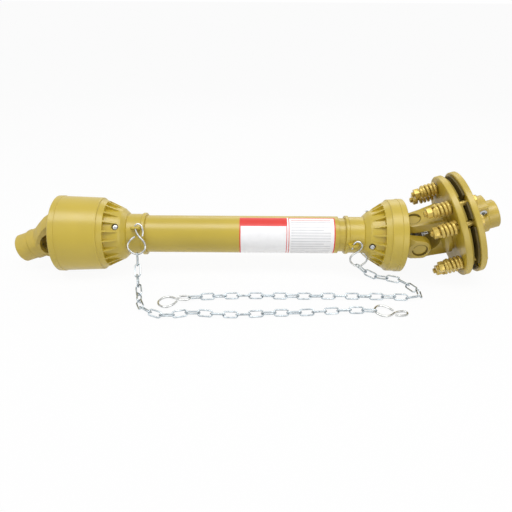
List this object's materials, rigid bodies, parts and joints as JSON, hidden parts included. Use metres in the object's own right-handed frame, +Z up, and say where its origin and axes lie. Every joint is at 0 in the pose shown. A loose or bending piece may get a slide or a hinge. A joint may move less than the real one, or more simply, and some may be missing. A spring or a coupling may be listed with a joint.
{
  "type": "pto drive shaft",
  "caption": "Telescoping power take-off shaft with two universal joints, plastic guards held by chains, a quick-release splined yoke and a spring-loaded friction clutch.",
  "frame": {"origin": "on the floor under the middle of the whole shaft's box", "axes": "+X along the shaft towards the clutch, +Z up, -Y towards the laid-out chains"},
  "size_m": [0.8594, 0.265, 0.1819],
  "materials": {
    "guard_plastic": "satin",
    "yellow_paint": "gloss",
    "gold_zinc": "satin",
    "bare_steel": "satin",
    "bright_zinc": "gloss",
    "tube_steel": "satin",
    "spring_steel": "satin",
    "friction_lining": "matte",
    "bearing_plastic": "satin",
    "bushing_bronze": "satin"
  },
  "bodies": {
    "guard": {"left_guard_cone": "guard_plastic", "left_guard_bell": "guard_plastic", "outer_guard_tube": "guard_plastic", "left_guard_bearing": "bearing_plastic", "left_guard_screws": "bright_zinc", "left_lug_hook": "bright_zinc", "left_chain": "bright_zinc", "left_end_hook": "bright_zinc"},
    "sliding_guard": {"inner_guard_tube": "guard_plastic", "right_guard_cone": "guard_plastic", "right_guard_bell": "guard_plastic", "right_guard_bearing": "bearing_plastic", "right_guard_screws": "bright_zinc", "right_lug_hook": "bright_zinc", "right_chain": "bright_zinc", "right_end_hook": "bright_zinc"},
    "outer_drive": {"left_inner_yoke": "yellow_paint", "outer_drive_tube": "tube_steel", "left_roll_pin": "spring_steel", "left_cups_tube_side": "bare_steel", "left_circlips_tube_side": "spring_steel"},
    "inner_drive": {"right_inner_yoke": "yellow_paint", "inner_drive_tube": "tube_steel", "right_roll_pin": "spring_steel", "right_cups_tube_side": "bare_steel", "right_circlips_tube_side": "spring_steel"},
    "left_joint_cross": {"left_cross": "bare_steel", "left_grease_nipple": "bright_zinc"},
    "tractor_end": {"tractor_yoke": "yellow_paint", "push_pin_spring": "spring_steel", "left_cups_tractor_side": "bare_steel", "left_circlips_tractor_side": "spring_steel"},
    "push_pin": {"yoke_push_pin": "bright_zinc"},
    "right_joint_cross": {"right_cross": "bare_steel", "right_grease_nipple": "bright_zinc"},
    "clutch": {"clutch_yoke": "yellow_paint", "clutch_bushing": "bushing_bronze", "friction_disc_yoke_side": "friction_lining", "friction_disc_plate_side": "friction_lining", "pressure_plate": "yellow_paint", "clutch_bolts": "gold_zinc", "clutch_springs": "gold_zinc", "clutch_nuts": "gold_zinc", "right_cups_clutch_side": "bare_steel", "right_circlips_clutch_side": "spring_steel"},
    "hub": {"clutch_hub": "yellow_paint", "hub_clamp_bolt": "bright_zinc", "hub_clamp_nut": "bright_zinc"}
  },
  "joints": [
    {"name": "telescope", "type": "slide", "parent": "guard", "child": "sliding_guard", "axis": [1, 0, 0], "range_m": [-0.01, 0.24]},
    {"name": "drive_spin", "type": "hinge", "parent": "guard", "child": "outer_drive", "pos_m": [0.00265, 0.0419, 0.0673], "axis": [1, 0, 0], "continuous": true},
    {"name": "inner_drive_spin", "type": "hinge", "parent": "sliding_guard", "child": "inner_drive", "pos_m": [0.20265, 0.0419, 0.0673], "axis": [1, 0, 0], "continuous": true},
    {"name": "left_inner_pin", "type": "hinge", "parent": "outer_drive", "child": "left_joint_cross", "pos_m": [-0.33735, 0.0419, 0.0673], "axis": [0, -0.9563, -0.2924], "range_deg": [-47.2, 8.8]},
    {"name": "tractor_pin", "type": "hinge", "parent": "left_joint_cross", "child": "tractor_end", "pos_m": [-0.33735, 0.0419, 0.0673], "axis": [0.3287, 0.2761, -0.9032], "range_deg": [-22.3, 33.7]},
    {"name": "push_pin_slide", "type": "slide", "parent": "tractor_end", "child": "push_pin", "axis": [-0.3287, -0.2761, 0.9032], "range_m": [0, 0.005], "stiffness_N_per_m": 2000, "deforming": ["push_pin_spring"]},
    {"name": "right_inner_pin", "type": "hinge", "parent": "inner_drive", "child": "right_joint_cross", "pos_m": [0.28825, 0.0419, 0.0673], "axis": [0, -0.9563, -0.2924], "range_deg": [-40.6, 5.4]},
    {"name": "clutch_pin", "type": "hinge", "parent": "right_joint_cross", "child": "clutch", "pos_m": [0.28825, 0.0419, 0.0673], "axis": [-0.303, -0.2786, 0.9114], "range_deg": [-28.3, 17.7]},
    {"name": "clutch_slip", "type": "hinge", "parent": "clutch", "child": "hub", "pos_m": [0.38314, 0.0419, 0.09884], "axis": [0.9489, 0, 0.3154], "continuous": true}
  ],
  "couplings": [
    {"joint": "inner_drive_spin", "follows": "drive_spin", "ratio": 1}
  ]
}
